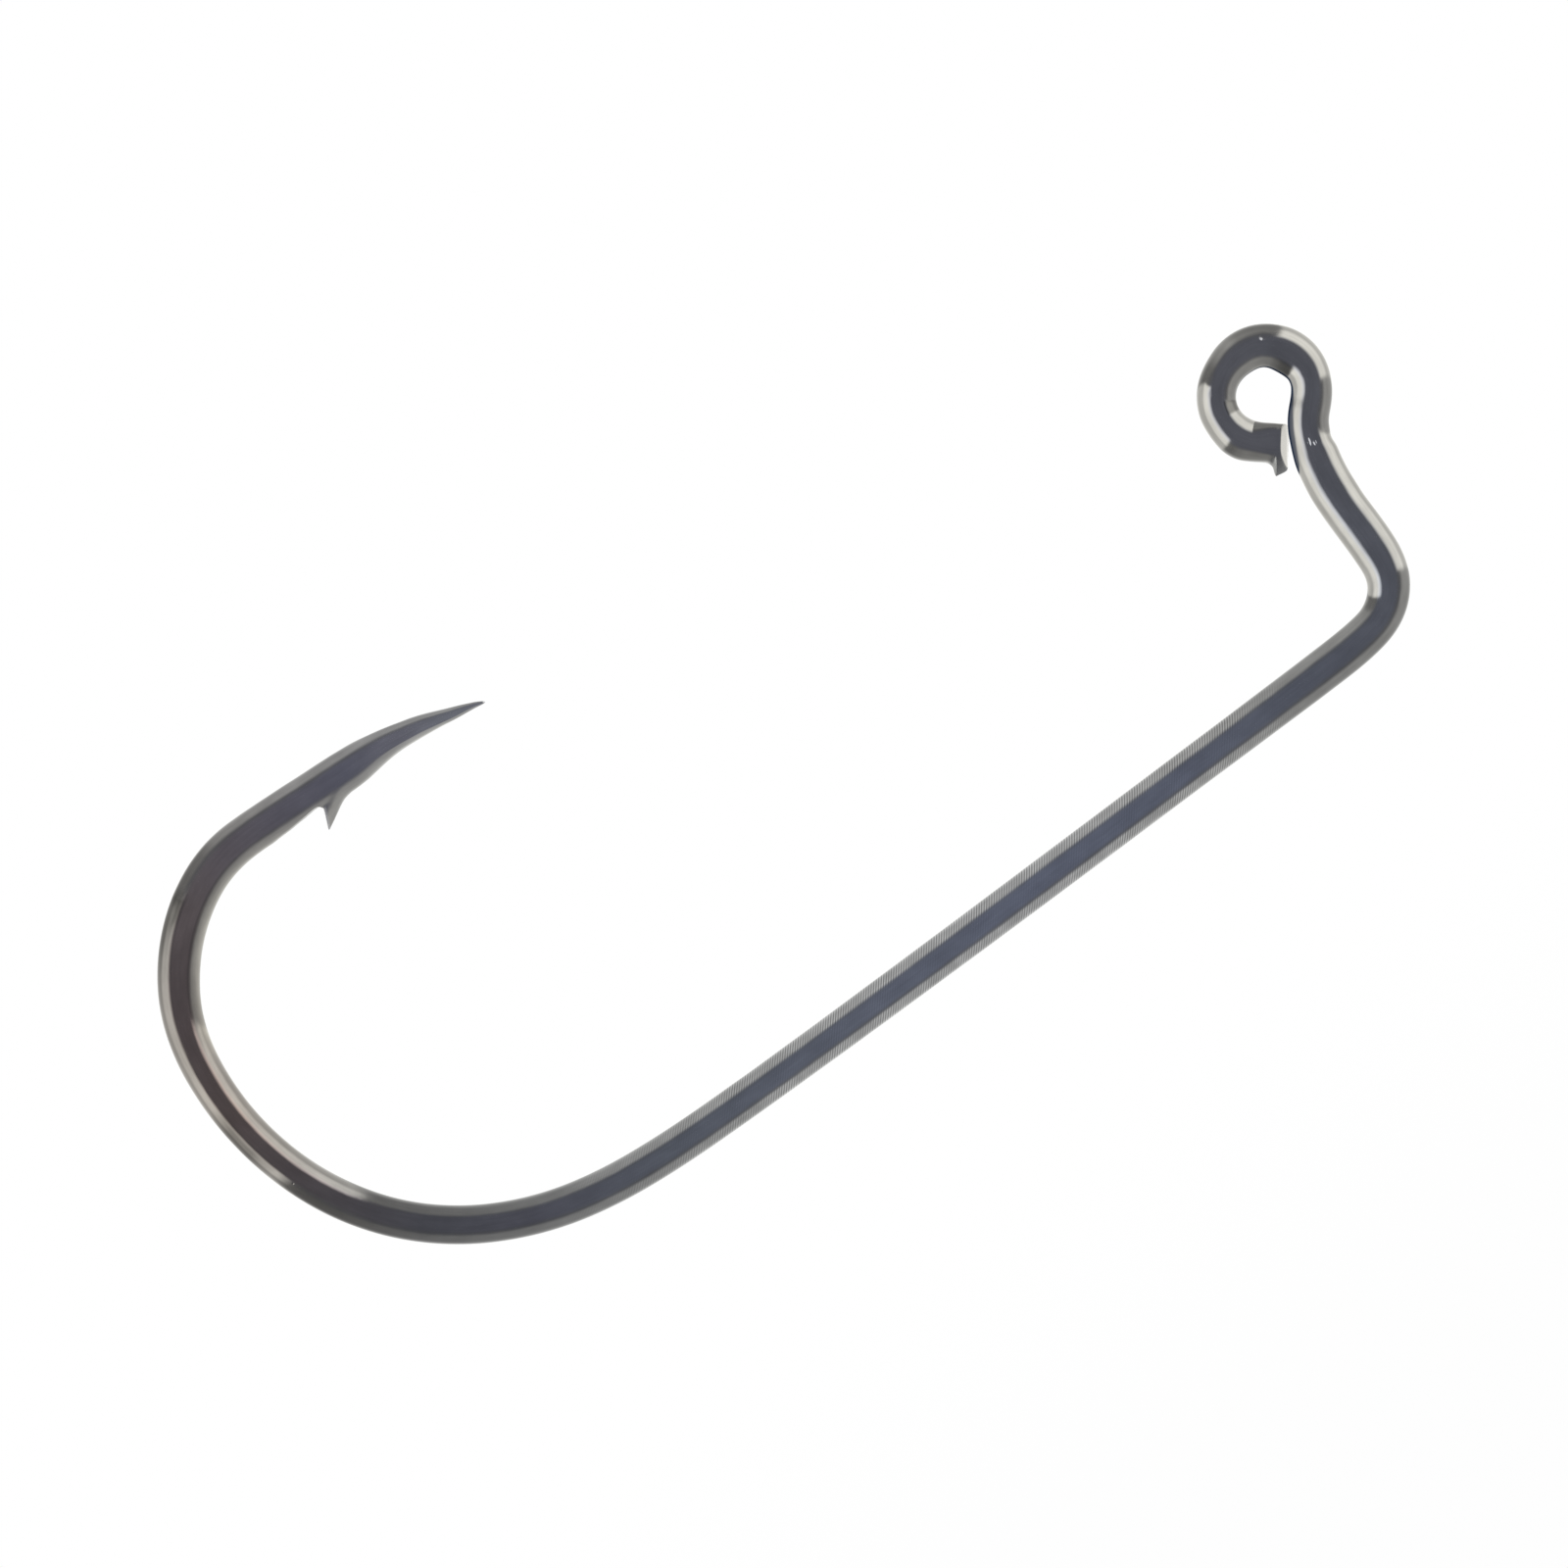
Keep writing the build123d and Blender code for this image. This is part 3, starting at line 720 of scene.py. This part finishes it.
def add_floor():
    """A wide disc just under the hook, in metres."""
    radii, sides, centre_x = (0.03, 0.12, 0.5, 2.0), 64, -0.016
    floor_z = cad_box[0][2] - 0.02 * MILLIMETRE
    turns = [2 * math.pi * k / sides for k in range(sides)]
    corners = [(centre_x, 0, floor_z)]
    corners += [(centre_x + radius * math.cos(turn), radius * math.sin(turn), floor_z)
                for radius in radii for turn in turns]
    steps = [(k, (k + 1) % sides) for k in range(sides)]
    panels = [(0, 1 + k, 1 + n) for k, n in steps]
    for j in range(len(radii) - 1):
        inner, outer = 1 + j * sides, 1 + (j + 1) * sides
        panels += [(inner + k, outer + k, outer + n, inner + n) for k, n in steps]
    mesh = bpy.data.meshes.new("floor")
    mesh.from_pydata(corners, [], panels)
    mesh.update()
    floor = add_object("floor", mesh)
    floor.visible_glossy = False
    mesh.materials.append(floor_paper())


def add_key_light():
    """A soft key for the floor's shadow; the polished wire doesn't mirror it."""
    light = bpy.data.lights.new("key", "SUN")
    light.energy = 1.45
    light.angle = math.radians(11)
    key = add_object("key", light)
    key.rotation_euler = (math.radians(28), math.radians(-18), 0)
    key.visible_glossy = False


# What the wire mirrors, by polar angle from the direction back to the camera: the dim room, then
# the pale surroundings with two soft boxes in them, then white. Angles are in degrees.
DIM_ROOM = (0.300, 0.305, 0.330)
FAR_WHITE = (1.00, 1.00, 0.98)
BOX_GLOW = (2.42, 2.40, 2.30)
BOX_SPILL = (1.45, 1.44, 1.39)       # round each box's azimuths, on out to the far side
# surroundings: (azimuth in the view, from right through up, brightness)
SURROUNDINGS = [
    (-180, 0.62), (-150, 0.62), (-135, 0.44), (-120, 0.38), (-107, 0.50), (-92, 0.60),
    (-70, 0.70), (-45, 0.75), (-20, 0.80), (0, 0.86), (20, 0.90), (66, 0.80), (78, 0.54),
    (95, 0.58), (112, 0.68), (124, 0.90), (136, 0.78), (148, 0.46), (160, 0.42), (180, 0.62)]
# soft boxes, upper right and left: (first and last azimuth, width of their soft edges, polar
# angles of the rise, polar angles of the fall)
SOFT_BOXES = [(15, 72, 5, (38, 62), (84, 108)), (163, 231, 6, (38, 60), (82, 104))]


def turned_vector(tree, vector, source, target):
    """A direction carried from one space to another, as its x, y and z."""
    turned = tree.add("VectorTransform", {0: vector}, vector_type="VECTOR",
                      convert_from=source, convert_to=target)
    return tree.split(tree.vector_math("NORMALIZE", turned.outputs[0]))


def mirrored_studio(tree):
    direction = tree.add("TexCoord").outputs["Generated"]
    x, y, z = turned_vector(tree, direction, "WORLD", "CAMERA")     # the view is along +Z
    polar = tree.math("DEGREES", tree.math("ARCCOSINE", tree.math("MULTIPLY", z, -1.0)))
    azimuth = tree.math("DEGREES", tree.math("ARCTAN2", y, x))
    turn = tree.math("DIVIDE", tree.math("ADD", azimuth, 180.0), 360.0)
    around = tree.add("ValToRGB", {0: turn})
    around.color_ramp.interpolation = "EASE"
    stops = around.color_ramp.elements
    stops.remove(stops[-1])
    for i, (degrees, level) in enumerate(SURROUNDINGS):
        stop = stops[0] if i == 0 else stops.new((degrees + 180) / 360)
        stop.color = (level, level, level * 0.995, 1)
    studio = tree.blend(tree.ramp(polar, span=(51, 75)), DIM_ROOM, around.outputs[0])
    studio = tree.blend(tree.ramp(polar, span=(112, 155)), studio, FAR_WHITE)
    for first, last, soft, rise, fall in SOFT_BOXES:
        centre, half = (first + last) / 2, (last - first) / 2
        offset = tree.math("SUBTRACT", azimuth, centre)
        offset = tree.math("ABSOLUTE", tree.math("WRAP", offset, 180.0, -180.0))
        within = tree.ramp(offset, span=(half - soft / 2, half + soft / 2), to=(1, 0))
        risen = tree.ramp(polar, span=rise)
        fallen = tree.ramp(polar, span=fall, to=(1, 0))
        spill = tree.math("MULTIPLY", within, risen)
        box = tree.math("MULTIPLY", spill, fallen)
        studio = tree.blend(spill, studio, BOX_SPILL)
        studio = tree.blend(box, studio, BOX_GLOW)
    return studio


def add_world():
    """White to the camera, the studio to the polished wire, even light to the floor."""
    world = bpy.data.worlds.new("studio")
    scene.world = world
    tree = ShaderTree(world)
    world.cycles.sampling_method = "NONE"
    studio = mirrored_studio(tree)
    # seen from other sides the studio is turned down, so the plate keeps its dark look
    _, look_y, _ = turned_vector(tree, (0, 0, 1), "CAMERA", "WORLD")
    strength = tree.ramp(tree.math("ABSOLUTE", look_y), span=(0.60, 0.98), to=(0.60, 1.0))
    mirrored = tree.add("Background", {"Color": studio, "Strength": strength}).outputs[0]
    white = tree.add("Background", {"Color": (1, 1, 1)}).outputs[0]
    even = tree.add("Background", {"Color": (0.85, 0.85, 0.85)}).outputs[0]
    ray = tree.add("LightPath").outputs
    unseen = tree.add("MixShader", {0: ray["Is Glossy Ray"], 1: even, 2: mirrored}).outputs[0]
    seen = tree.add("MixShader", {0: ray["Is Camera Ray"], 1: unseen, 2: white}).outputs[0]
    tree.add("OutputWorld", {"Surface": seen})


add_camera()
add_floor()
add_key_light()
add_world()
